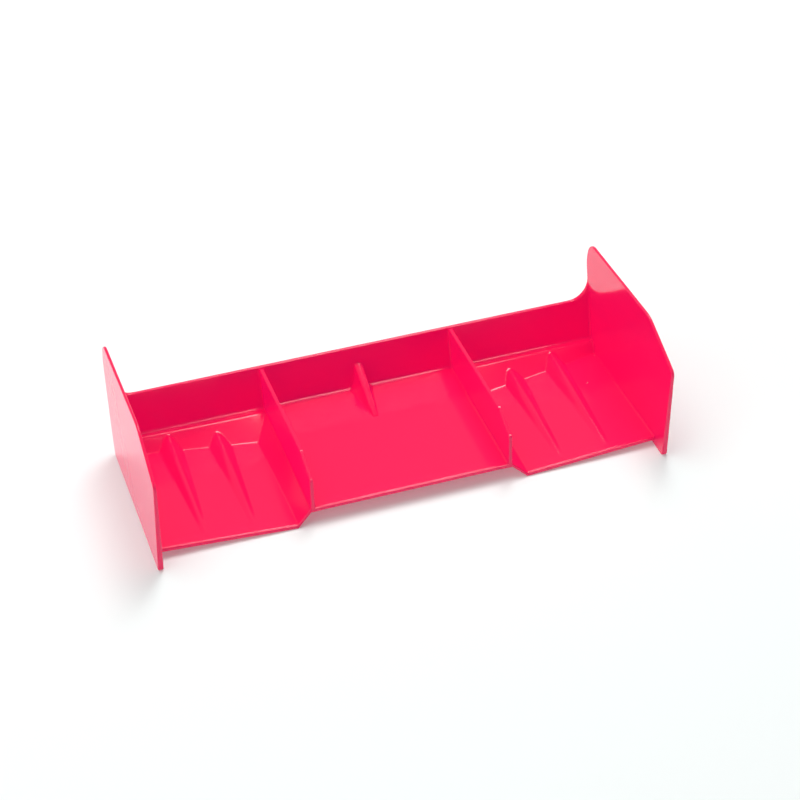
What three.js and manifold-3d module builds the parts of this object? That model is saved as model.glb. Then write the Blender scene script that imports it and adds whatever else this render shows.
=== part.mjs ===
// Rear wing for an eighth-scale off-road racing car, in millimetres.
// X runs along the span, +Y points to the rear of the car, +Z is up.
// The wing is one nylon moulding. It is built here as its separate walls, floors, ribs and plates.
import * as THREE from 'three';
import { mergeVertices } from 'three/addons/utils/BufferGeometryUtils.js';
import Module from 'manifold-3d';

const wasm = await Module();
wasm.setup();

// Driving dimensions. Places along Y are measured from the foot of the gurney flap until the end.
const SPAN = 178;
const PLATE_THICKNESS = 1.9;
const PLATE_DRAFT = 0.02;
const SKIN = 1.5;
const DIVIDER_THICKNESS = 1.3;
const GURNEY_THICKNESS = 1.3;
const CHORD = 59;
const DECK_HEIGHT = 6;
const DECK_WIDTH = 70.5;
const GURNEY_HEIGHT = 15.8;
const GURNEY_LEAN = 0.16;
const SWEEP_RADIUS = 7.5;
const CUT_GAP = 0.3;

// How finely curved and bent faces are cut up, and how close two points may be to count as one.
const PANEL_STEPS = 6;
const EASE_STEPS = 6;
const SWEEP_STEPS = 10;
const FIN_STEPS = [2, 4, 5];
const RIB_STEPS = [10, 8];
const WELD_DISTANCE = 1e-5;

// End plate outline: the heel, the foot, the nose, the shoulder and the tip.
const HEEL_INSET = 1.2;
const FOOT_FRONT = 6.5;
const NOSE_FRONT = 10.9;
const NOSE_HEIGHT = 37.9;
const SHOULDER_BACK = 10;
const PLATE_HEIGHT = 47.4;
const TIP_DROP = 2.9;
const TIP_INSET = 3;
const TIP_BACK_HEIGHT = 37;

// How far the rounding of each outline corner reaches along the two edges beside it.
const HEEL_EASE = 0.8;
const HEEL_TOP_EASE = 1;
const TIP_EASE = 4;
const SHOULDER_EASE = 3;
const NOSE_EASE = 2;
const TOE_EASE = 1.2;
const DIVIDER_TOP_EASE = 0.6;
const DIVIDER_FRONT_EASE = 1;

// Side pockets: ledge, step and floor. The floor rises towards the nose of the end plate.
const LEDGE_WIDTH = 2.2;
const SIDE_WALL_RUN = 5;
const SIDE_WALL_SPLAY = 0.8;
const STEP_RUN_INNER = 10.7;
const STEP_RUN_OUTER = 2.3;
const POCKET_NOSE = 1.2;
const FLOOR_RISE_REAR = 0.4;
const FLOOR_RISE_FRONT = 2.2;

// Dividers, centre fin and the turning ribs in the pockets.
const DIVIDER_HEIGHT = 15;
const DIVIDER_RISE = 1.4;
const DIVIDER_NOSE_LENGTH = 11;
const DIVIDER_NOSE_DROP = 4.6;
const FIN_LENGTH = 18;
const FIN_HEIGHT = 9.6;
const FIN_FOOT_WIDTH = 9;
const FIN_CREST_WIDTH = 2.7;
const FIN_TIP_WIDTH = 1.7;
const FIN_TIP_HEIGHT = 0.3;
const RIB_LENGTH = 49;
const RIB_WIDTH = 9;
const RIB_TIP_WIDTH = 1;
const RIBS = {
  inner_rib: { share: 0.36, drop: 1.7 },
  outer_rib: { share: 0.68, drop: 0.7 },
};

const plateInner = SPAN / 2 - PLATE_THICKNESS;
const deckEdge = DECK_WIDTH / 2;
const deckUnder = DECK_HEIGHT - SKIN;
const gurneyTop = DECK_HEIGHT + GURNEY_HEIGHT;
const gurneyFace = (z) => (z - DECK_HEIGHT) * GURNEY_LEAN;
const plateBack = (z) => gurneyFace(z) + GURNEY_THICKNESS;

const plastic = new THREE.MeshStandardMaterial({ color: '#fd2a58', roughness: 0.25, metalness: 0 });
const group = new THREE.Group();

function place(name, geometry) {
  const mesh = new THREE.Mesh(geometry, plastic.clone());
  mesh.name = name;
  group.add(mesh);
}

// A left piece is the mirror image of the right one, with its triangles turned to face out again.
function mirrored(geometry) {
  const copy = mergeVertices(bare(geometry));
  copy.scale(-1, 1, 1);
  const corners = copy.index.array;
  for (let i = 0; i < corners.length; i += 3) {
    [corners[i], corners[i + 1]] = [corners[i + 1], corners[i]];
  }
  return copy;
}

function placePair(name, geometry) {
  place(`right_${name}`, geometry);
  place(`left_${name}`, mirrored(geometry));
}

function bare(geometry) {
  const copy = geometry.clone();
  copy.deleteAttribute('normal');
  copy.deleteAttribute('uv');
  return copy;
}

function toSolid(geometry) {
  const merged = mergeVertices(bare(geometry), WELD_DISTANCE);
  const vertProperties = new Float32Array(merged.attributes.position.array);
  const triVerts = new Uint32Array(merged.index.array);
  return new wasm.Manifold(new wasm.Mesh({ numProp: 3, vertProperties, triVerts }));
}

function fromSolid(solid) {
  const mesh = solid.getMesh();
  const geometry = new THREE.BufferGeometry();
  geometry.setAttribute('position', new THREE.BufferAttribute(mesh.vertProperties, mesh.numProp));
  geometry.setIndex(new THREE.BufferAttribute(mesh.triVerts, 1));
  return geometry;
}

// A unit box whose points are moved by shape(s, t, w), each from 0 to 1 along X, Y and Z.
function shapedBox(shape, stepsS, stepsT, stepsW = 1) {
  const geometry = new THREE.BoxGeometry(1, 1, 1, stepsS, stepsT, stepsW);
  const points = geometry.attributes.position;
  const point = new THREE.Vector3();
  for (let i = 0; i < points.count; i += 1) {
    point.fromBufferAttribute(points, i).addScalar(0.5);
    const [x, y, z] = shape(point.x, point.y, point.z);
    points.setXYZ(i, x, y, z);
  }
  return geometry;
}

// A panel of even depth between four top corners, named as seen from above.
function panel({ frontInner, frontOuter, rearInner, rearOuter }, raise = 0, depth = SKIN) {
  const mix = THREE.MathUtils.lerp;
  return shapedBox((s, t, w) => {
    const at = [0, 1, 2].map((k) => mix(
      mix(frontInner[k], frontOuter[k], s),
      mix(rearInner[k], rearOuter[k], s),
      t,
    ));
    return [at[0], at[1], at[2] + raise - depth * (1 - w)];
  }, PANEL_STEPS, PANEL_STEPS);
}

// A closed outline whose corners [a, b, reach] are eased by a curve.
function easedOutline(corners) {
  const shape = new THREE.Shape();
  corners.forEach(([a, b, reach], i) => {
    const corner = new THREE.Vector2(a, b);
    const before = new THREE.Vector2(...corners.at(i - 1));
    const after = new THREE.Vector2(...corners[(i + 1) % corners.length]);
    const start = before.sub(corner).setLength(reach).add(corner);
    const end = after.sub(corner).setLength(reach).add(corner);
    if (i === 0) shape.moveTo(start.x, start.y);
    else shape.lineTo(start.x, start.y);
    if (reach > 0) shape.quadraticCurveTo(corner.x, corner.y, end.x, end.y);
  });
  shape.closePath();
  return shape;
}

// An outline drawn in Y and Z, given a thickness along X from the place named inner.
function uprightPlate(outline, inner, thickness) {
  const settings = { depth: thickness, bevelEnabled: false, curveSegments: EASE_STEPS };
  const geometry = new THREE.ExtrudeGeometry(outline, settings);
  const turn = new THREE.Matrix4().set(
    0, 0, 1, inner,
    1, 0, 0, 0,
    0, 1, 0, 0,
    0, 0, 0, 1,
  );
  return geometry.applyMatrix4(turn);
}

function plateFront() {
  return -CHORD - NOSE_FRONT;
}

function plateRear() {
  return plateBack(TIP_BACK_HEIGHT);
}

// An end plate's inner face is upright. Its outer face has draft, so the plate is thickest at its foot.
function endPlate() {
  const outline = easedOutline([
    [plateBack(0) - HEEL_INSET, 0, HEEL_EASE],
    [plateBack(deckUnder), deckUnder, HEEL_TOP_EASE],
    [plateRear(), TIP_BACK_HEIGHT, TIP_EASE],
    [plateRear() - TIP_INSET, PLATE_HEIGHT - TIP_DROP, TIP_EASE],
    [-CHORD + SHOULDER_BACK, PLATE_HEIGHT, SHOULDER_EASE],
    [plateFront(), NOSE_HEIGHT, NOSE_EASE],
    [-CHORD - FOOT_FRONT, 0, TOE_EASE],
  ]);
  const geometry = uprightPlate(outline, 0, PLATE_THICKNESS);
  const points = geometry.attributes.position;
  for (let i = 0; i < points.count; i += 1) {
    const outer = points.getX(i) > 0;
    points.setX(i, plateInner + (outer ? PLATE_THICKNESS - PLATE_DRAFT * points.getZ(i) : 0));
  }
  return geometry;
}

// The deck is the flat centre panel that the car's wing mount bolts to.
function deckPanel() {
  return panel({
    frontInner: [-deckEdge, -CHORD, DECK_HEIGHT],
    frontOuter: [deckEdge, -CHORD, DECK_HEIGHT],
    rearInner: [-deckEdge, 0, DECK_HEIGHT],
    rearOuter: [deckEdge, 0, DECK_HEIGHT],
  });
}

// The gurney flap leans back from the rear edge of the deck and of the pocket ledges.
function gurneyFlap() {
  const outline = new THREE.Shape();
  outline.moveTo(0, deckUnder);
  outline.lineTo(plateBack(deckUnder), deckUnder);
  outline.lineTo(plateBack(gurneyTop), gurneyTop);
  outline.lineTo(gurneyFace(gurneyTop), gurneyTop);
  outline.lineTo(0, DECK_HEIGHT);
  outline.closePath();
  return uprightPlate(outline, -plateInner, 2 * plateInner);
}

// A web in the corner between the top of the gurney flap and the rear edge of an end plate.
function cornerSweep() {
  const outline = new THREE.Shape();
  outline.moveTo(plateInner, gurneyTop);
  outline.lineTo(plateInner, gurneyTop + SWEEP_RADIUS);
  outline.absarc(
    plateInner - SWEEP_RADIUS,
    gurneyTop + SWEEP_RADIUS,
    SWEEP_RADIUS,
    0,
    -Math.PI / 2,
    true,
  );
  outline.closePath();
  const settings = { depth: GURNEY_THICKNESS, bevelEnabled: false, curveSegments: SWEEP_STEPS };
  const geometry = new THREE.ExtrudeGeometry(outline, settings);
  const leanBack = new THREE.Matrix4().set(
    1, 0, 0, 0,
    0, GURNEY_LEAN, -1, GURNEY_THICKNESS - DECK_HEIGHT * GURNEY_LEAN,
    0, 1, 0, 0,
    0, 0, 0, 1,
  );
  return geometry.applyMatrix4(leanBack);
}

// The four panels of a pocket share these corners, so they meet edge to edge.
const pocket = {
  ledgeInner: [deckEdge, -LEDGE_WIDTH, DECK_HEIGHT],
  ledgeOuter: [plateInner, -LEDGE_WIDTH, DECK_HEIGHT],
  wallFront: [deckEdge, -CHORD, DECK_HEIGHT],
  floorRearInner: [
    deckEdge + SIDE_WALL_RUN + SIDE_WALL_SPLAY,
    -LEDGE_WIDTH - STEP_RUN_INNER,
    SKIN,
  ],
  floorRearOuter: [plateInner, -LEDGE_WIDTH - STEP_RUN_OUTER, SKIN + FLOOR_RISE_REAR],
  floorFrontInner: [deckEdge + SIDE_WALL_RUN, -CHORD - POCKET_NOSE, SKIN],
  floorFrontOuter: [plateInner, -CHORD, SKIN + FLOOR_RISE_FRONT],
};

const pocketPanels = {
  pocket_ledge: {
    frontInner: pocket.ledgeInner,
    frontOuter: pocket.ledgeOuter,
    rearInner: [deckEdge, 0, DECK_HEIGHT],
    rearOuter: [plateInner, 0, DECK_HEIGHT],
  },
  pocket_step: {
    frontInner: pocket.floorRearInner,
    frontOuter: pocket.floorRearOuter,
    rearInner: pocket.ledgeInner,
    rearOuter: pocket.ledgeOuter,
  },
  pocket_floor: {
    frontInner: pocket.floorFrontInner,
    frontOuter: pocket.floorFrontOuter,
    rearInner: pocket.floorRearInner,
    rearOuter: pocket.floorRearOuter,
  },
  pocket_side: {
    frontInner: pocket.wallFront,
    frontOuter: pocket.floorFrontInner,
    rearInner: pocket.ledgeInner,
    rearOuter: pocket.floorRearInner,
  },
};

// A divider stands on each edge of the deck, against the gurney flap.
function divider() {
  const rearTop = DECK_HEIGHT + DIVIDER_HEIGHT;
  const frontTop = rearTop + DIVIDER_RISE;
  const outline = easedOutline([
    [0, DECK_HEIGHT, 0],
    [gurneyFace(rearTop), rearTop, 0],
    [-CHORD + DIVIDER_NOSE_LENGTH, frontTop, DIVIDER_TOP_EASE],
    [-CHORD, frontTop - DIVIDER_NOSE_DROP, DIVIDER_FRONT_EASE],
    [-CHORD, DECK_HEIGHT, 0],
  ]);
  return uprightPlate(outline, deckEdge - DIVIDER_THICKNESS, DIVIDER_THICKNESS);
}

// The centre fin is a short roof that props the middle of the gurney flap.
function centreFin() {
  const mix = THREE.MathUtils.lerp;
  return shapedBox((s, t, w) => {
    const foot = mix(FIN_TIP_WIDTH, FIN_FOOT_WIDTH, t);
    const crest = mix(FIN_TIP_WIDTH / 2, FIN_CREST_WIDTH, t);
    const height = mix(FIN_TIP_HEIGHT, FIN_HEIGHT, t) * w;
    const back = gurneyFace(DECK_HEIGHT + height) * t;
    const width = mix(foot, crest, Math.sqrt(w));
    return [(s - 0.5) * width, -FIN_LENGTH * (1 - t) + back, DECK_HEIGHT + height];
  }, ...FIN_STEPS);
}

// A turning rib is a round-topped ridge that runs from the step and fades into the pocket floor.
// It is made too deep, and the raised floor and step are then taken off underneath.
function turningRib({ share, drop }) {
  const mix = THREE.MathUtils.lerp;
  const centre = mix(deckEdge, plateInner, share);
  const rearEnd = -LEDGE_WIDTH - CUT_GAP;
  const floorFront = SKIN + FLOOR_RISE_FRONT * share;
  const crestRear = DECK_HEIGHT - drop;
  const blank = shapedBox((s, t, w) => {
    const side = 2 * s - 1;
    const flank = mix(floorFront, SKIN, t);
    const crest = mix(floorFront + 2 * CUT_GAP, crestRear, t);
    const width = mix(RIB_TIP_WIDTH, RIB_WIDTH, t);
    const top = mix(flank, crest, 0.5 + 0.5 * Math.cos(Math.PI * side));
    return [centre + side * width / 2, rearEnd - RIB_LENGTH * (1 - t), mix(-SKIN, top, w)];
  }, ...RIB_STEPS);
  const tall = 3 * DECK_HEIGHT;
  const floorCut = toSolid(panel(pocketPanels.pocket_floor, CUT_GAP, tall));
  const stepCut = toSolid(panel(pocketPanels.pocket_step, CUT_GAP, tall));
  return fromSolid(toSolid(blank).subtract(floorCut.add(stepCut)));
}

place('deck_panel', deckPanel());
place('gurney_flap', gurneyFlap());
place('centre_fin', centreFin());
placePair('end_plate', endPlate());
placePair('corner_sweep', cornerSweep());
placePair('divider', divider());
for (const [name, corners] of Object.entries(pocketPanels)) placePair(name, panel(corners));
for (const [name, rib] of Object.entries(RIBS)) placePair(name, turningRib(rib));

// The origin ends up under the middle of the wing, level with the feet of the end plates.
const middle = new THREE.Box3().setFromObject(group).getCenter(new THREE.Vector3());
group.position.set(-middle.x, -middle.y, 0);

export default group;
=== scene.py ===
import math

import bpy
import numpy as np
from mathutils import Matrix, Vector


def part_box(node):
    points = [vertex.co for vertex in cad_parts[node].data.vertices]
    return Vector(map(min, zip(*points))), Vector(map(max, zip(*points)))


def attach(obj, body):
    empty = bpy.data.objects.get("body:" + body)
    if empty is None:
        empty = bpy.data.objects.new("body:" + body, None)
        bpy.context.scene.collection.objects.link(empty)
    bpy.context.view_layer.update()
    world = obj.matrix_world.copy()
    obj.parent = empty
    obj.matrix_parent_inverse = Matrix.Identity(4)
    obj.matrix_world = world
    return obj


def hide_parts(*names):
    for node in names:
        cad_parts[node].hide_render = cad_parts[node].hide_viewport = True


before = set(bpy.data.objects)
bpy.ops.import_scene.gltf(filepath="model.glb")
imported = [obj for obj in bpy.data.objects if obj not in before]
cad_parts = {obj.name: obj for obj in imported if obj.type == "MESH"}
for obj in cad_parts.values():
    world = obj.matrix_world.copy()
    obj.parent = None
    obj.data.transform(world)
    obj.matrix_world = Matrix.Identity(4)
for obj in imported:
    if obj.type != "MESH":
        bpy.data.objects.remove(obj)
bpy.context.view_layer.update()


# ---- Camera -------------------------------------------------------------------------------
# A long lens looks down on the wing from the front, a little to its left, and leans slightly.
# The wing's own axes give the directions: X along the span, Y to the rear, Z up.
CAMERA_PLACE = Vector((-0.17613, -0.59604, 0.48895))
CAMERA_SWING = math.radians(-16.877)
CAMERA_RISE = math.radians(36.884)
CAMERA_LEAN = math.radians(1.96)
CAMERA_LENS = 103.627
CAMERA_SENSOR_WIDTH = 36
CAMERA_NEAREST = 0.01

back = Vector((
    math.sin(CAMERA_SWING) * math.cos(CAMERA_RISE),
    -math.cos(CAMERA_SWING) * math.cos(CAMERA_RISE),
    math.sin(CAMERA_RISE),
))
level_right = Vector((0, 0, 1)).cross(back).normalized()
level_up = back.cross(level_right)
right = level_right * math.cos(CAMERA_LEAN) - level_up * math.sin(CAMERA_LEAN)
up = level_right * math.sin(CAMERA_LEAN) + level_up * math.cos(CAMERA_LEAN)
camera = bpy.data.objects.new("camera", bpy.data.cameras.new("camera"))
camera.data.sensor_width = CAMERA_SENSOR_WIDTH
camera.data.lens = CAMERA_LENS
camera.data.clip_start = CAMERA_NEAREST
camera.matrix_world = Matrix.Translation(CAMERA_PLACE) @ Matrix(
    (right, up, back)).transposed().to_4x4()
bpy.context.scene.collection.objects.link(camera)
bpy.context.scene.camera = camera


# ---- Room ---------------------------------------------------------------------------------
# The wing stands on a wide white sweep between quiet grey walls. Soft boxes hang behind it and
# above and to its left. Those in front and to its right show only as gleams in the gloss.
FLOOR_REACH = 12.0
FLOOR_WHITE = (0.65, 0.685, 0.678, 1.0)
FLOOR_DULLNESS = 0.9
FLOOR_SHEEN = 0.1
FLOOR_GLOW = 0.185
GLOW_WHITE = (1.0, 1.0, 1.0, 1.0)
ROOM_GLOW = 0.75
GLOW_GAIN_TO_REAR = 0.35
WALL_SHADES = ((0.0, 0.80), (0.12, 0.34), (0.6, 0.30), (1.0, 0.22))


class Wire:
    """One output socket. Sums written with it add their own nodes."""

    def __init__(self, bench, socket):
        self.bench = bench
        self.socket = socket

    def __add__(self, other):
        return self.bench.add("ShaderNodeMath", {"operation": "ADD"}, self, other)

    __radd__ = __add__

    def __mul__(self, other):
        return self.bench.add("ShaderNodeMath", {"operation": "MULTIPLY"}, self, other)

    __rmul__ = __mul__


class Bench:
    """The node tree of one material or world."""

    def __init__(self, tree):
        self.tree = tree
        tree.nodes.clear()

    def add(self, kind, settings=None, *values, output=0, **named):
        """Adds a node: its settings first, then its sockets by place or by name."""
        node = self.tree.nodes.new(kind)
        for key, value in (settings or {}).items():
            if key == "stops":
                ramp = node.color_ramp.elements
                while len(ramp) < len(value):
                    ramp.new(1.0)
                for stop, (place, shade) in zip(ramp, value):
                    stop.position = place
                    stop.color = shade
            else:
                setattr(node, key, value)
        inputs = list(zip(node.inputs, values))
        inputs += [(node.inputs[key.replace("_", " ")], value) for key, value in named.items()]
        for socket, value in inputs:
            if isinstance(value, Wire):
                self.tree.links.new(value.socket, socket)
            elif value is not None:
                socket.default_value = value
        return Wire(self, node.outputs[output]) if len(node.outputs) else node


floor_mesh = bpy.data.meshes.new("white_sweep")
floor_mesh.from_pydata(
    [(x * FLOOR_REACH, y * FLOOR_REACH, 0.0) for x, y in ((-1, -1), (1, -1), (1, 1), (-1, 1))],
    [], [(0, 1, 2, 3)])
sweep = bpy.data.objects.new("white_sweep", floor_mesh)
bpy.context.scene.collection.objects.link(sweep)
sweep_paint = bpy.data.materials.new("white_sweep")
sweep_paint.use_nodes = True
bench = Bench(sweep_paint.node_tree)
paint = bench.add(
    "ShaderNodeBsdfPrincipled", None, Base_Color=FLOOR_WHITE, Roughness=FLOOR_DULLNESS,
    Specular_IOR_Level=FLOOR_SHEEN, Emission_Color=GLOW_WHITE, Emission_Strength=FLOOR_GLOW)
bench.add("ShaderNodeOutputMaterial", None, Surface=paint)
floor_mesh.materials.append(sweep_paint)

world = bpy.data.worlds.new("room")
world.use_nodes = True
bench = Bench(world.node_tree)
direction = bench.add("ShaderNodeTexCoord", None)
height = bench.add("ShaderNodeSeparateXYZ", None, direction, output=2)
rearward = bench.add("ShaderNodeSeparateXYZ", None, direction, output=1)
wall_stops = [(rise, (grey, grey, grey, 1.0)) for rise, grey in WALL_SHADES]
wall_shade = bench.add("ShaderNodeValToRGB", {"stops": wall_stops}, height)
room_glow = ROOM_GLOW + GLOW_GAIN_TO_REAR * rearward
glow = bench.add("ShaderNodeBackground", None, wall_shade, room_glow)
bench.add("ShaderNodeOutputWorld", None, glow)
bpy.context.scene.world = world
bpy.context.scene.view_settings.view_transform = "Standard"


def hang_soft_box(name, place, size, power, mirrored_in_gloss=True, lights_faces=True):
    """A lit rectangle of that size and power in watts, turned to face the wing."""
    lamp = bpy.data.lights.new(name, "AREA")
    lamp.shape = "RECTANGLE"
    lamp.size, lamp.size_y = size
    lamp.energy = power
    box = bpy.data.objects.new(name, lamp)
    box.location = place
    box.rotation_euler = (-Vector(place)).to_track_quat("-Z", "Y").to_euler()
    box.visible_glossy = mirrored_in_gloss
    box.visible_diffuse = lights_faces
    bpy.context.scene.collection.objects.link(box)


hang_soft_box("rear_soft_box", (0.255, 0.433, 0.977), (0.34, 0.56), 5.4)
hang_soft_box("top_fill", (-0.15, 0.22, 1.2), (1.1, 0.9), 11.2, mirrored_in_gloss=False)
hang_soft_box("front_soft_box", (0.255, -0.62, 0.87), (0.28, 0.50), 3.3, lights_faces=False)
hang_soft_box("left_fill", (-1.15, -0.4, 0.75), (1.3, 0.9), 5.0)
hang_soft_box("right_soft_box", (1.1, 0.08, 0.45), (0.5, 0.5), 2.6, lights_faces=False)


# ---- Moulded nylon ------------------------------------------------------------------------
# The whole wing is one shot of glossy nylon with a fluorescent pink dye. The skin glows a little
# in an even pink, partly the dye's fluorescence and partly painted fill light that lifts its
# shaded faces.
# The tool was polished, so the skin has only a low wave, a very fine grain and slight changes
# of dullness and tint.
NYLON_PINK = (0.88, 0.007, 0.044, 1.0)
NYLON_DEEPER_PINK = (0.86, 0.006, 0.040, 1.0)
NYLON_INDEX = 1.48
# An even pink glow over the whole skin: partly the dye's fluorescence, partly painted fill light
# that brightens its shaded faces.
FLUORESCENCE_AND_PAINTED_FILL_COLOUR = (1.0, 0.0, 0.42, 1.0)
FLUORESCENCE_AND_PAINTED_FILL = 0.12
CLOUD_SCALE = 45.0
GRAIN_SCALE = 2600.0
NOISE_DETAIL = 2.0
POLISH = 0.10
CLOUD_DULLNESS = 0.03
GRAIN_DULLNESS = 0.03
CLOUD_RELIEF = 0.6
GRAIN_RELIEF = 0.02
RELIEF_STRENGTH = 0.15
RELIEF_DEPTH = 0.0002

nylon = bpy.data.materials.new("moulded_nylon")
nylon.use_nodes = True
bench = Bench(nylon.node_tree)
place = bench.add("ShaderNodeTexCoord", None, output=3)
cloud = bench.add("ShaderNodeTexNoise", None, place, Scale=CLOUD_SCALE, Detail=NOISE_DETAIL)
grain = bench.add("ShaderNodeTexNoise", None, place, Scale=GRAIN_SCALE, Detail=NOISE_DETAIL)
unused_sockets = [None] * 5    # its colours come after its numbers and vectors
tint = bench.add("ShaderNodeMix", {"data_type": "RGBA"}, cloud, *unused_sockets,
                 NYLON_PINK, NYLON_DEEPER_PINK, output=2)
dullness = POLISH + CLOUD_DULLNESS * cloud + GRAIN_DULLNESS * grain
relief = CLOUD_RELIEF * cloud + GRAIN_RELIEF * grain
skin_bump = bench.add("ShaderNodeBump", None, Strength=RELIEF_STRENGTH,
                      Distance=RELIEF_DEPTH, Height=relief)
# The emission here is the even pink glow: partly fluorescence, partly painted fill light.
shell = bench.add(
    "ShaderNodeBsdfPrincipled", None, Base_Color=tint, Roughness=dullness, Normal=skin_bump,
    IOR=NYLON_INDEX, Emission_Color=FLUORESCENCE_AND_PAINTED_FILL_COLOUR, Emission_Strength=FLUORESCENCE_AND_PAINTED_FILL)
bench.add("ShaderNodeOutputMaterial", None, Surface=shell)


# ---- Wing skin: deck and pockets ----------------------------------------------------------
# The deck between the dividers and the two lower pockets beside it are one bent skin of nylon,
# 1.5 mm thick. Two ridges run forward from the step of each pocket and fade out on its floor.
# The car's wing mount is screwed under the deck.
MM = 0.001
SHARP_ANGLE = math.radians(40.0)
EVENING_WEIGHT = 80
TINY = 1e-9


def edges_of(node):
    """The low and high corners of a node's box, in millimetres."""
    low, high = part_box(node)
    return low / MM, high / MM


deck_low, deck_high = edges_of("deck_panel")
heel = deck_high.y
deck_edge = deck_high.x
deck_top = deck_high.z
skin = deck_high.z - deck_low.z
chord = deck_high.y - deck_low.y
plate_inner = edges_of("right_end_plate")[0].x
ledge_low, ledge_high = edges_of("right_pocket_ledge")
ledge_width = ledge_high.y - ledge_low.y


def mould(name, node_names, points, faces, normals=None):
    """Makes a nylon piece. Its points are in millimetres, with Y counted from the flap's foot."""
    mesh = bpy.data.meshes.new(name)
    places = [(x * MM, (y + heel) * MM, z * MM) for x, y, z in points]
    mesh.from_pydata(places, [], faces)
    mesh.validate()
    mesh.shade_smooth()
    if normals is None:
        mesh.set_sharp_from_angle(angle=SHARP_ANGLE)
    else:
        mesh.normals_split_custom_set(normals)
    mesh.materials.append(nylon)
    piece = bpy.data.objects.new(name, mesh)
    bpy.context.scene.collection.objects.link(piece)
    if normals is None:
        evened = piece.modifiers.new("evened_normals", "WEIGHTED_NORMAL")
        evened.keep_sharp = True
        evened.weight = EVENING_WEIGHT
    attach(piece, "root")
    if node_names:
        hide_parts(*node_names)


STEP_RUN_INNER = 10.7
STEP_RUN_OUTER = 2.3
WALL_RUN_REAR = 5.8
WALL_RUN_FRONT = 5.0
SHORTEST_STEP_RUN = 0.02
POCKET_NOSE = 1.2
NOSE_CORNER_EASE = 0.2
NOSE_START_EASE = 0.1
FLOOR_RISE_REAR = 0.4
FLOOR_RISE_FRONT = 2.2
NOSE_TOP_RADIUS = 0.7
NOSE_UNDER_RADIUS = 0.35
FLOOR_RUN_LIMITS = (-0.5, 1.2)
FOOT_EASE = 0.3
# The easing of the step's foot and of its brink, near the deck and near the end plate.
STEP_FOOT_EASE = (0.3, 0.7)
BRINK_EASE = (0.35, 1.0)
# How far out across the pocket each ridge stands, and how far its rear end stays below the deck.
RIDGES = {"inner_rib": (0.36, 1.7), "outer_rib": (0.68, 0.7)}
RIDGE_LENGTH = 53.0
RIDGE_WIDTH = 8.6
RIDGE_TIP_WIDTH = 2.2
RIDGE_SETBACK = 0.3
RIDGE_FULLNESS = 0.62


def mix(low, high, share):
    return low + (high - low) * share


def rounded_max(a, b, blend):
    """The higher of two heights, with the crease between them eased over that blend."""
    ease = np.maximum(blend - np.abs(a - b), 0.0) / blend
    return np.maximum(a, b) + ease * ease * blend / 4


def rounded_min(a, b, blend):
    return -rounded_max(-a, -b, blend)


foot_rear = deck_edge + WALL_RUN_REAR
foot_front = deck_edge + WALL_RUN_FRONT
floor_rear_inner = -ledge_width - STEP_RUN_INNER
floor_rear_outer = -ledge_width - STEP_RUN_OUTER
sunk = deck_top - skin


def wall_foot(y):
    """How far out the pocket's slanted side reaches the floor, at that distance back."""
    back_share = (floor_rear_inner - y) / (floor_rear_inner + chord + POCKET_NOSE)
    return mix(foot_rear, foot_front, np.clip(back_share, 0, 1))


def out_share(ax):
    """0 at the foot of the pocket's side and 1 at the end plate."""
    return (ax - foot_rear) / (plate_inner - foot_rear)


def step_foot(ax):
    """How far back the step reaches the floor, at that distance out."""
    beyond = mix(floor_rear_inner, floor_rear_outer, out_share(ax))
    valley = mix(-ledge_width, floor_rear_inner, (ax - deck_edge) / WALL_RUN_REAR)
    return np.where(ax < deck_edge, -ledge_width, np.where(ax < foot_rear, valley, beyond))


def front_edge(ax):
    """The front edge of the skin, which bulges forward a little across each pocket."""
    inner = (ax - deck_edge) / WALL_RUN_FRONT
    outer = (plate_inner - ax) / (plate_inner - foot_front)
    bulge = rounded_min(inner, outer, NOSE_CORNER_EASE)
    return -chord - POCKET_NOSE * rounded_max(bulge, 0 * bulge, NOSE_START_EASE)


def skin_height(x, y, ridged):
    """The height of the skin's upper face, with or without its ridges."""
    ax = np.abs(x)
    share = out_share(ax)
    foot = mix(floor_rear_inner, floor_rear_outer, share)
    forward = np.clip((foot - y) / (foot + chord), *FLOOR_RUN_LIMITS)
    floor = skin + share * mix(FLOOR_RISE_REAR, FLOOR_RISE_FRONT, forward)
    wall = deck_top - sunk * (ax - deck_edge) / (wall_foot(y) - deck_edge)
    step_down = (-ledge_width - y) / (-ledge_width - foot)
    step = deck_top - (deck_top - skin - FLOOR_RISE_REAR * share) * step_down
    outward = np.clip(share, 0, 1)
    low = rounded_max(floor, wall, FOOT_EASE)
    if ridged:
        for centre_share, drop in RIDGES.values():
            centre = mix(deck_edge, plate_inner, centre_share)
            back_share = np.clip(1 - (-ledge_width - RIDGE_SETBACK - y) / RIDGE_LENGTH, 0, 1)
            half = mix(RIDGE_TIP_WIDTH, RIDGE_WIDTH, back_share) / 2
            side = np.clip((ax - centre) / half, -1, 1)
            crest = (deck_top - drop - skin) * back_share
            low = low + crest * (0.5 + 0.5 * np.cos(math.pi * side)) ** RIDGE_FULLNESS
    low = rounded_max(low, step, mix(*STEP_FOOT_EASE, outward))
    return rounded_min(low, deck_top + 0 * low, mix(*BRINK_EASE, outward))


CROWDING = 1.7


def spaced(start, stop, count, start_dense=True, stop_dense=True):
    """Values from start to stop, closer together toward the ends that ask for it."""
    t = np.linspace(0, 1, count + 1)
    if start_dense and stop_dense:
        t = (1 - np.cos(math.pi * t)) / 2
    elif start_dense:
        t = t ** CROWDING
    elif stop_dense:
        t = 1 - (1 - t) ** CROWDING
    return start + (stop - start) * t


# The skin is laid out in columns from side to side and in rows from the flap forward. Its last
# columns end inside the end plates and its first rows inside the flap.
DECK_COLUMNS = 7
WALL_COLUMNS = 22
FLOOR_COLUMNS = 170
INTO_PLATE = 1.012
INTO_FLAP = -0.43
LEDGE_ROWS = 14
STEP_ROWS = 36
FLOOR_ROWS = 70
NOSE_ROWS = 9
MIDDLE_Y = -20.0
SETTLING_ROUNDS = 4

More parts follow.
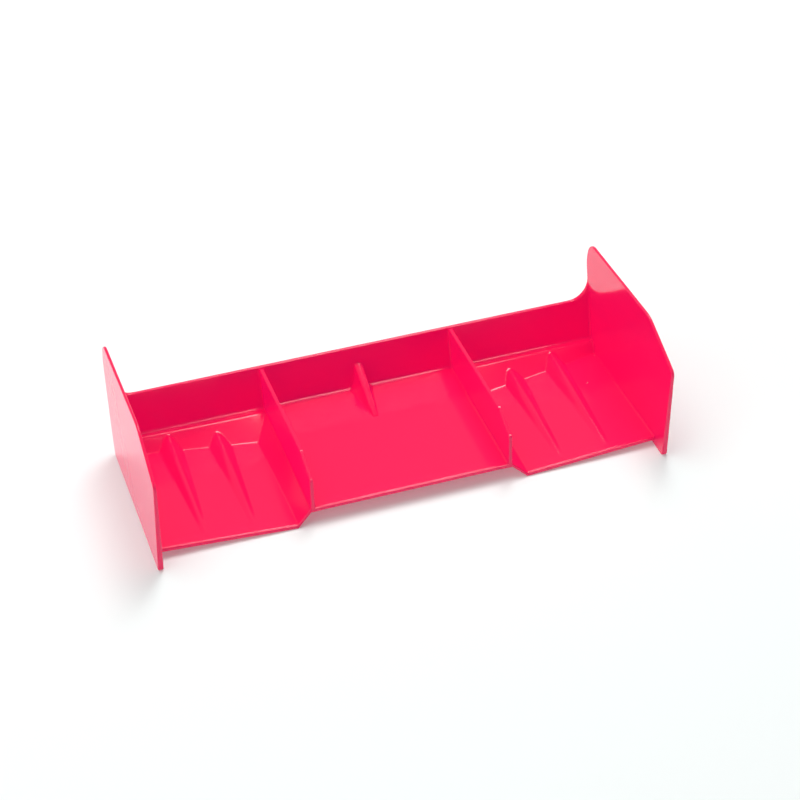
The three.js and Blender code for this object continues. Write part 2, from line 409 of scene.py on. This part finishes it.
half_columns = [("deck", t) for t in np.linspace(0, 1, DECK_COLUMNS + 1)[:-1]]
half_columns += [("wall", t) for t in spaced(0, 1, WALL_COLUMNS)[:-1]]
half_columns += [("floor", t) for t in spaced(0, 1, FLOOR_COLUMNS, stop_dense=False)]
half_columns += [("floor", INTO_PLATE)]
columns = [(-1, part, t) for part, t in reversed(half_columns[1:])]
columns += [(1, part, t) for part, t in half_columns]
rows = [("ledge", t) for t in spaced(INTO_FLAP, 1, LEDGE_ROWS, start_dense=False)[:-1]]
rows += [("step", t) for t in spaced(0, 1, STEP_ROWS)[:-1]]
rows += [("floor", t) for t in spaced(0, 1, FLOOR_ROWS, stop_dense=False)]


def lay_out(side, part, along, row_part, down):
    """Where a column crosses a row. Each depends on the other, so they settle in rounds."""
    y = MIDDLE_Y
    for _ in range(SETTLING_ROUNDS):
        if part == "deck":
            ax = deck_edge * along
        elif part == "wall":
            ax = mix(deck_edge, wall_foot(y), along)
        else:
            ax = mix(wall_foot(y), plate_inner, along)
        stop = front_edge(np.float64(ax)) + NOSE_TOP_RADIUS
        foot = min(float(step_foot(np.float64(ax))), -ledge_width - SHORTEST_STEP_RUN)
        if row_part == "ledge":
            y = -ledge_width * down
        elif row_part == "step":
            y = mix(-ledge_width, foot, down)
        else:
            y = mix(foot, stop, down)
    return side * ax, y


plan = np.array([[lay_out(*column, *row) for column in columns] for row in rows])
plan_x, plan_y = plan[:, :, 0], plan[:, :, 1]
front = plan_y[-1] - NOSE_TOP_RADIUS


def skin_side(ridged, drop, radius, turn):
    """One face of the skin, from the flap to the middle of its rounded front edge."""
    z = skin_height(plan_x, plan_y, ridged) - drop
    grid = [np.stack([plan_x, plan_y, z], axis=-1)]
    if radius < NOSE_TOP_RADIUS:    # the smaller rounding starts further forward
        grid.append(np.stack([plan_x[-1], front + radius, z[-1]], axis=-1)[None])
    for angle in spaced(0, math.pi / 2, NOSE_ROWS)[1:]:
        y = front + radius * (1 - math.sin(angle))
        nose = z[-1] - turn * radius * (1 - math.cos(angle))
        grid.append(np.stack([plan_x[-1], y, nose], axis=-1)[None])
    grid = np.concatenate(grid)
    normal = np.cross(np.gradient(grid, axis=0), np.gradient(grid, axis=1)) * turn
    normal[-1] = (0, -1, 0)
    return grid, normal / np.maximum(np.linalg.norm(normal, axis=2, keepdims=True), TINY)


faces_of_skin = (
    skin_side(True, 0.0, NOSE_TOP_RADIUS, 1), skin_side(False, skin, NOSE_UNDER_RADIUS, -1))
last_row = len(rows) - 1


def member_at(row, column):
    """The name of the wing's member that a cell of the skin belongs to."""
    inner = min(column, column + 1, key=lambda k: abs(plan_x[0, k]))
    part = columns[inner][1]
    side = "right" if plan_x[0, column] + plan_x[0, column + 1] > 0 else "left"
    down = rows[row][0]
    if part == "deck":
        return "deck_panel"
    if down != "floor":
        return f"{side}_pocket_{down}"
    if part == "wall":
        return f"{side}_pocket_side"
    middle_x = abs(plan_x[row, column] + plan_x[row, column + 1]) / 2
    for ridge, (centre_share, _) in RIDGES.items():
        beside = abs(middle_x - mix(deck_edge, plate_inner, centre_share)) < RIDGE_WIDTH / 2
        if beside and plan_y[row, column] > -RIDGE_LENGTH:
            return f"{side}_{ridge}"
    return f"{side}_pocket_floor"


members = {}
for column in range(len(columns) - 1):
    for row in range(last_row):
        members.setdefault(member_at(row, column), set()).add((row, column))


def cut_out(cells):
    """Both faces of the skin over these cells, closed by walls along their borders."""
    points, faces, normals, known = [], [], [], {}

    def point(face, row, column):
        key = (face, row, column)
        if key not in known:
            known[key] = len(points)
            points.append(faces_of_skin[face][0][row, column])
        return known[key]

    def panel_face(face, row, column):
        """One cell of the skin's upper face, 0, or of its lower face, 1."""
        corners = [(row, column), (row + 1, column), (row + 1, column + 1), (row, column + 1)]
        corners = corners if face == 0 else corners[::-1]
        faces.append([point(face, *corner) for corner in corners])
        normals.extend(faces_of_skin[face][1][corner] for corner in corners)

    def wall_face(ring):
        """A flat face across the skin's thickness."""
        faces.append([point(*corner) for corner in ring])
        shape = np.array([faces_of_skin[face][0][row, column] for face, row, column in ring])
        flat = np.cross(shape[1] - shape[0], shape[2] - shape[0])
        flat = flat / max(np.linalg.norm(flat), TINY)
        normals.extend(flat for _ in ring)

    for row, column in cells:
        for face in (0, 1):
            panel_face(face, row, column)
        # The neighbour beyond each border of the cell, and the two corners of that border.
        for near, a, b in (((row - 1, column), (row, column + 1), (row, column)),
                           ((row, column - 1), (row, column), (row + 1, column)),
                           ((row, column + 1), (row + 1, column + 1), (row, column + 1)),
                           ((row + 1, column), (row + 1, column), (row + 1, column + 1))):
            if near not in cells and near[0] < last_row:
                wall_face([(0, *b), (0, *a), (1, *a), (1, *b)])
        if row + 1 < last_row:
            continue
        # The last row carries the rounded front edge.
        ends = [len(faces_of_skin[face][0]) - 1 for face in (0, 1)]
        for face in (0, 1):
            for nose in range(last_row, ends[face]):
                panel_face(face, nose, column)
        wall_face([(0, ends[0], column + 1), (0, ends[0], column), (1, ends[1], column),
                   (1, ends[1], column + 1)])
        for side_column, near in ((column, column - 1), (column + 1, column + 1)):
            if (row, near) not in cells:
                ring = [(0, nose, side_column) for nose in range(last_row, ends[0] + 1)]
                ring += [(1, nose, side_column) for nose in range(ends[1], last_row - 1, -1)]
                wall_face(ring if near > column else ring[::-1])
    return points, faces, normals


for member, cells in members.items():
    mould(f"moulded_{member}", [member], *cut_out(cells))


# ---- Gate marks ---------------------------------------------------------------------------
# The plastic came in through two small gates. Each one left a low trimmed button, one on the
# deck beside the fin and one on the floor of the right pocket.
GATES = ((-4.6, -9.5), (78.0, -20.3))
GATE_RADIUS = 0.55
GATE_HEIGHT = 0.16
GATE_PROFILE = ((-0.2, 1.0), (0.0, 1.0), (0.6, 0.86), (1.0, 0.55))
GATE_POINTS = 24


def loft(rings):
    """Joins rings of equal length in order, and closes both ends."""
    count = len(rings[0])
    points = [tuple(p) for ring in rings for p in ring]
    faces = []
    for k in range(len(rings) - 1):
        for i in range(count):
            j = (i + 1) % count
            faces.append([k * count + i, k * count + j, (k + 1) * count + j,
                          (k + 1) * count + i])
    faces.append(list(range(count))[::-1])
    faces.append([(len(rings) - 1) * count + i for i in range(count)])
    return points, faces


def together(*bodies):
    """Puts the points and faces of several bodies into one."""
    points, faces = [], []
    for body_points, body_faces in bodies:
        faces += [[i + len(points) for i in face] for face in body_faces]
        points += body_points
    return points, faces


def gate_button(x, y):
    """A low round button that stands on the skin at that place."""
    level = float(skin_height(np.float64(x), np.float64(y), False))
    rings = []
    for rise, share in GATE_PROFILE:
        reach = GATE_RADIUS * share
        z = level + GATE_HEIGHT * rise
        turns = np.linspace(0, 2 * math.pi, GATE_POINTS, endpoint=False)
        rings.append([(x + reach * math.cos(t), y + reach * math.sin(t), z) for t in turns])
    return loft(rings)


mould("moulded_gate_marks", [], *together(*[gate_button(x, y) for x, y in GATES]))


# ---- Gurney flap --------------------------------------------------------------------------
# The tall nylon flap along the rear edge leans back a little. It is moulded on the deck and on
# the ledges of both pockets with a small cove, and its top edge is rounded.
FLAP_LEAN = 0.16
FLAP_THICKNESS = 1.3
FLAP_FRONT_RIM = 0.6
FLAP_REAR_RIM = 0.5
FLAP_HEEL_RIM = 0.35
FLAP_COVE = 1.1
COVE_BURIAL = 0.15
ARC_STEPS = 9
FLAP_INTO_PLATE = 0.3
flap_root = ((0.9, sunk), (0.2, deck_top - 0.8), (-0.7, deck_top - 0.2))
flap_top = edges_of("gurney_flap")[1].z
flap_run = Vector((0, FLAP_LEAN, 1)).normalized()


def lean_at(z):
    """How far back the flap's front face lies at that height."""
    return (z - deck_top) * FLAP_LEAN


def arc(corner, toward_a, toward_b, radius):
    """Points of a rounding that runs from the line toward a to the line toward b."""
    corner, a, b = Vector(corner), Vector(toward_a).normalized(), Vector(toward_b).normalized()
    half = math.acos(max(-1.0, min(1.0, a.dot(b)))) / 2
    centre = corner + (a + b).normalized() * radius / math.sin(half)
    start = corner + a * radius / math.tan(half) - centre
    end = corner + b * radius / math.tan(half) - centre
    whole = start.angle(end)
    return [
        centre + (start * math.sin(whole - turn) + end * math.sin(turn)) / math.sin(whole)
        for turn in spaced(0, whole, ARC_STEPS)
    ]


def mirrored(body):
    """The same body for the wing's other side."""
    points, faces = body
    return [(-x, y, z) for x, y, z in points], [face[::-1] for face in faces]


def cove_strip(start, end, toward_a, toward_b, radius):
    """A concave strip in the corner between two faces, from one end of it to the other."""
    inward = (Vector(toward_a).normalized() + Vector(toward_b).normalized()) * -COVE_BURIAL
    rings = []
    for corner in (start, end):
        corner = Vector(corner)
        rings.append(arc(corner, toward_a, toward_b, radius) + [corner + inward])
    return loft(rings)


def flap_profile(x):
    """The flap's outline at one place along the span. Its last points lie inside the skin."""
    face, level, rear = flap_run, Vector((0, -1, 0)), Vector((0, 1, 0))
    rear_top = (x, lean_at(flap_top) + FLAP_THICKNESS, flap_top)
    rear_foot = (x, lean_at(sunk) + FLAP_THICKNESS, sunk)
    ring = arc((x, 0, deck_top), level, face, FLAP_COVE)
    ring += arc((x, lean_at(flap_top), flap_top), -face, rear, FLAP_FRONT_RIM)
    ring += arc(rear_top, level, -face, FLAP_REAR_RIM)
    ring += arc(rear_foot, face, level, FLAP_HEEL_RIM)
    ring += [Vector((x, y, z)) for y, z in flap_root]
    return ring


flap_end = plate_inner + FLAP_INTO_PLATE
mould("moulded_gurney_flap", ["gurney_flap"],
      *loft([flap_profile(x) for x in (-flap_end, 0.0, flap_end)]))


# ---- Centre fin ---------------------------------------------------------------------------
# A short fin of the same nylon props the middle of the flap. It has a rounded crest, and its
# flanks flare out into the deck that it is moulded on.
FIN_LENGTH = 18.0
FIN_CREST = 2.7
FIN_TIP = 1.7
FIN_TIP_HEIGHT = 0.2
FIN_RIM = 1.1
FIN_FLARE = 0.42
FIN_FLANK_STEPS = 12
FIN_RIM_POINTS = 6
FIN_SECTIONS = 25
FIN_BURIAL = 0.4
fin_low, fin_high = edges_of("centre_fin")
fin_foot = fin_high.x - fin_low.x
fin_height = fin_high.z - deck_top


def fin_ring(t):
    """The fin's section, from its tip at 0 to the flap at 1."""
    foot = mix(FIN_TIP, fin_foot, t)
    crest = mix(FIN_TIP, FIN_CREST, t)
    height = mix(FIN_TIP_HEIGHT, fin_height, t)
    rim = min(FIN_RIM, height / 2)
    rises = spaced(0, 1, FIN_FLANK_STEPS)[:-1]
    flank = [(mix(foot, crest, rise ** FIN_FLARE) / 2, height * rise) for rise in rises]
    flank = [(half, z) for half, z in flank if z < height - rim]
    flank += [(flank[-1][0], height - rim)] * (FIN_FLANK_STEPS - len(flank))
    crest_half = flank[-1][0]
    half_ring = [(foot / 2, -FIN_BURIAL)] + flank
    for turn in np.linspace(0, math.pi / 2, FIN_RIM_POINTS):
        half_ring.append((crest_half - rim * (1 - math.cos(turn)),
                          height - rim * (1 - math.sin(turn))))
    ring = [Vector((-half, 0, z)) for half, z in half_ring]
    ring += [Vector((half, 0, z)) for half, z in reversed(half_ring)]
    for p in ring:
        p.z += deck_top
        p.y = -FIN_LENGTH * (1 - t) + (lean_at(p.z) + FIN_BURIAL) * t
    return ring


mould("moulded_centre_fin", ["centre_fin"],
      *loft([fin_ring(t) for t in np.linspace(0, 1, FIN_SECTIONS)]))


# ---- End plates ---------------------------------------------------------------------------
# Each end plate is a flat nylon cheek, 1.9 mm thick at its foot and drafted on its outer face,
# so that it leaves the tool. Its rim is rounded, and coves join it to the skin and to the flap.
PLATE_DRAFT = 0.02
PLATE_RIM = 0.42
PLATE_COVE = 0.7
RIM_STEPS = 6
SHARPEST_CORNER = 0.3
COVE_OVERRUN = 2
plate_thickness = edges_of("right_end_plate")[1].x - plate_inner


def plate_back(z):
    """The plate's rear edge runs on from the flap's rear face."""
    return lean_at(z) + FLAP_THICKNESS


# Each corner's distance back, its height, and how far its rounding reaches.
PLATE_OUTLINE = (
    (plate_back(0) - 1.2, 0, 0.8), (plate_back(4.5), 4.5, 1.0), (plate_back(37), 37, 4.0),
    (plate_back(37) - 3, 44.5, 4.0), (-49, 47.4, 3.0), (-69.9, 37.9, 2.0), (-65.5, 0, 1.2),
)


def eased(outline):
    """The outline as points, with each corner rounded as far along both edges as it says."""
    ring = []
    corners = [(Vector((0, y, z)), reach) for y, z, reach in outline]
    for k, (corner, reach) in enumerate(corners):
        before = corners[k - 1][0] - corner
        after = corners[(k + 1) % len(corners)][0] - corner
        radius = reach * math.tan(before.angle(after) / 2)
        ring += arc(corner, before, after, radius) if reach else [corner]
    return ring


def inset(ring, distance):
    """The ring moved inward, with every edge shifted by the same distance."""
    area = sum(ring[k - 1].y * p.z - p.y * ring[k - 1].z for k, p in enumerate(ring))
    turn = 1 if area > 0 else -1
    moved = []
    for k, p in enumerate(ring):
        a = (p - ring[k - 1]).normalized()
        b = (ring[(k + 1) % len(ring)] - p).normalized()
        normal_a, normal_b = Vector((0, -a.z, a.y)) * turn, Vector((0, -b.z, b.y)) * turn
        along = normal_a + normal_b
        moved.append(p + along * distance / max(SHARPEST_CORNER, 0.5 * along.dot(along)))
    return moved


def cheek(outline, face_at, thickness_at, rim):
    """A flat plate with a rounded rim. Its two faces may lean to one another."""
    ring = eased(outline)
    turns = spaced(0, math.pi / 2, RIM_STEPS)
    steps = [(rim * (1 - math.sin(t)), rim * (1 - math.cos(t)), 0) for t in turns]
    steps += [(rim * (1 - math.sin(t)), rim * (1 - math.cos(t)), 1) for t in turns[::-1]]
    rings = []
    for shift, depth, far in steps:
        level = []
        for p in inset(ring, shift):
            x = face_at + (thickness_at(p.z) - depth if far else depth)
            level.append(Vector((x, p.y, p.z)))
        rings.append(level)
    return loft(rings)


floor_front = (plate_inner, -chord, skin + FLOOR_RISE_FRONT)
floor_rear = (plate_inner, floor_rear_outer, skin + FLOOR_RISE_REAR)
ledge_front = (plate_inner, -ledge_width, deck_top)
ledge_rear = (plate_inner, 0, deck_top)
above_flap = (plate_inner, lean_at(flap_top), flap_top + COVE_OVERRUN)
inward, upward, out_from_flap = (-1, 0, 0), (0, 0, 1), (0, -1, FLAP_LEAN)
down_the_floor = (-1, 0, -0.03)
out_from_step = (0, -0.87, 0.49)
end_plate = together(
    cheek(PLATE_OUTLINE, plate_inner, lambda z: plate_thickness - PLATE_DRAFT * z, PLATE_RIM),
    cove_strip(floor_front, floor_rear, down_the_floor, upward, PLATE_COVE),
    cove_strip(floor_rear, ledge_front, inward, out_from_step, PLATE_COVE),
    cove_strip(ledge_front, ledge_rear, inward, upward, PLATE_COVE),
    cove_strip(ledge_rear, above_flap, inward, out_from_flap, PLATE_COVE),
)
mould("moulded_right_end_plate", ["right_end_plate"], *end_plate)
mould("moulded_left_end_plate", ["left_end_plate"], *mirrored(end_plate))


# ---- Corner sweeps ------------------------------------------------------------------------
# A small web curves up from the top of the flap to the rear edge of each end plate. It is
# moulded in one with both, as thick as the flap, and its edge has the flap's rounding.
SWEEP_RADIUS = 7.5
SWEEP_DEPTH = 3.4
SWEEP_SECTIONS = 25
SWEEP_START = -0.03
SWEEP_END = math.pi / 2 + 0.06
INTO_FLAP_TOP = 0.9
INTO_PLATE_FACE = 0.5


def corner_sweep():
    """The web, drawn as one section that follows its concave arc from the flap to the plate."""
    centre_x, centre_z = plate_inner - SWEEP_RADIUS, flap_top + SWEEP_RADIUS
    section = [(SWEEP_DEPTH, 0.0)]
    for turn in spaced(0, math.pi / 2, RIM_STEPS):
        section.append((FLAP_FRONT_RIM * (1 - math.sin(turn)),
                        FLAP_FRONT_RIM * (1 - math.cos(turn))))
    for turn in spaced(math.pi / 2, 0, RIM_STEPS):
        section.append((FLAP_REAR_RIM * (1 - math.sin(turn)),
                        FLAP_THICKNESS - FLAP_REAR_RIM * (1 - math.cos(turn))))
    section.append((SWEEP_DEPTH, FLAP_THICKNESS))
    rings = []
    for turn in np.linspace(SWEEP_START, SWEEP_END, SWEEP_SECTIONS):
        ring = []
        for inward, depth in section:
            x = centre_x + (SWEEP_RADIUS + inward) * math.sin(turn)
            z = centre_z - (SWEEP_RADIUS + inward) * math.cos(turn)
            x, z = min(x, plate_inner + INTO_PLATE_FACE), max(z, flap_top - INTO_FLAP_TOP)
            ring.append(Vector((x, lean_at(z) + depth, z)))
        rings.append(ring)
    return loft(rings)


sweep_body = corner_sweep()
mould("moulded_right_corner_sweep", ["right_corner_sweep"], *sweep_body)
mould("moulded_left_corner_sweep", ["left_corner_sweep"], *mirrored(sweep_body))


# ---- Dividers -----------------------------------------------------------------------------
# A thin nylon divider stands on each edge of the deck. It is moulded on the skin and on the
# flap with small coves, and its top edge drops in a slope to the nose.
DIVIDER_THICKNESS = 1.3
DIVIDER_RIM = 0.3
DIVIDER_COVE = 0.7
DIVIDER_POCKET_COVE = 1.2
DIVIDER_REAR_TOP = 21.0
DIVIDER_NOSE = 11.0
DIVIDER_NOSE_DROP = 4.6
DIVIDER_TOP_EASE = 0.4
DIVIDER_NOSE_EASE = 1.0
DIVIDER_BURIAL = 0.6
DIVIDER_FOOT = 4.9
DIVIDER_SETBACK = 0.02
COVE_SETBACK = 0.6
divider_top = edges_of("right_divider")[1].z
divider_front = -chord + DIVIDER_SETBACK
divider_inner = deck_edge - DIVIDER_THICKNESS
divider_outline = (
    (DIVIDER_BURIAL, DIVIDER_FOOT, 0),
    (lean_at(DIVIDER_REAR_TOP) + DIVIDER_BURIAL, DIVIDER_REAR_TOP, 0),
    (-chord + DIVIDER_NOSE, divider_top, DIVIDER_TOP_EASE),
    (divider_front, divider_top - DIVIDER_NOSE_DROP, DIVIDER_NOSE_EASE),
    (divider_front, DIVIDER_FOOT, 0),
)
outward = (1, 0, 0)
down_the_side = (WALL_RUN_FRONT, 0, -sunk)
cove_start = -chord + COVE_SETBACK
inner_front, outer_front = (divider_inner, cove_start, deck_top), (deck_edge, cove_start, deck_top)
inner_heel, outer_heel = (divider_inner, 0, deck_top), (deck_edge, 0, deck_top)
inner_top = (divider_inner, lean_at(DIVIDER_REAR_TOP), DIVIDER_REAR_TOP)
outer_top = (deck_edge, lean_at(DIVIDER_REAR_TOP), DIVIDER_REAR_TOP)
outer_ledge = (deck_edge, -ledge_width, deck_top)
divider = together(
    cheek(divider_outline, divider_inner, lambda z: DIVIDER_THICKNESS, DIVIDER_RIM),
    cove_strip(inner_front, inner_heel, inward, upward, DIVIDER_COVE),
    cove_strip(outer_front, outer_ledge, down_the_side, upward, DIVIDER_POCKET_COVE),
    cove_strip(outer_ledge, outer_heel, outward, upward, DIVIDER_COVE),
    cove_strip(inner_heel, inner_top, inward, out_from_flap, DIVIDER_COVE),
    cove_strip(outer_heel, outer_top, outward, out_from_flap, DIVIDER_COVE),
)
mould("moulded_right_divider", ["right_divider"], *divider)
mould("moulded_left_divider", ["left_divider"], *mirrored(divider))
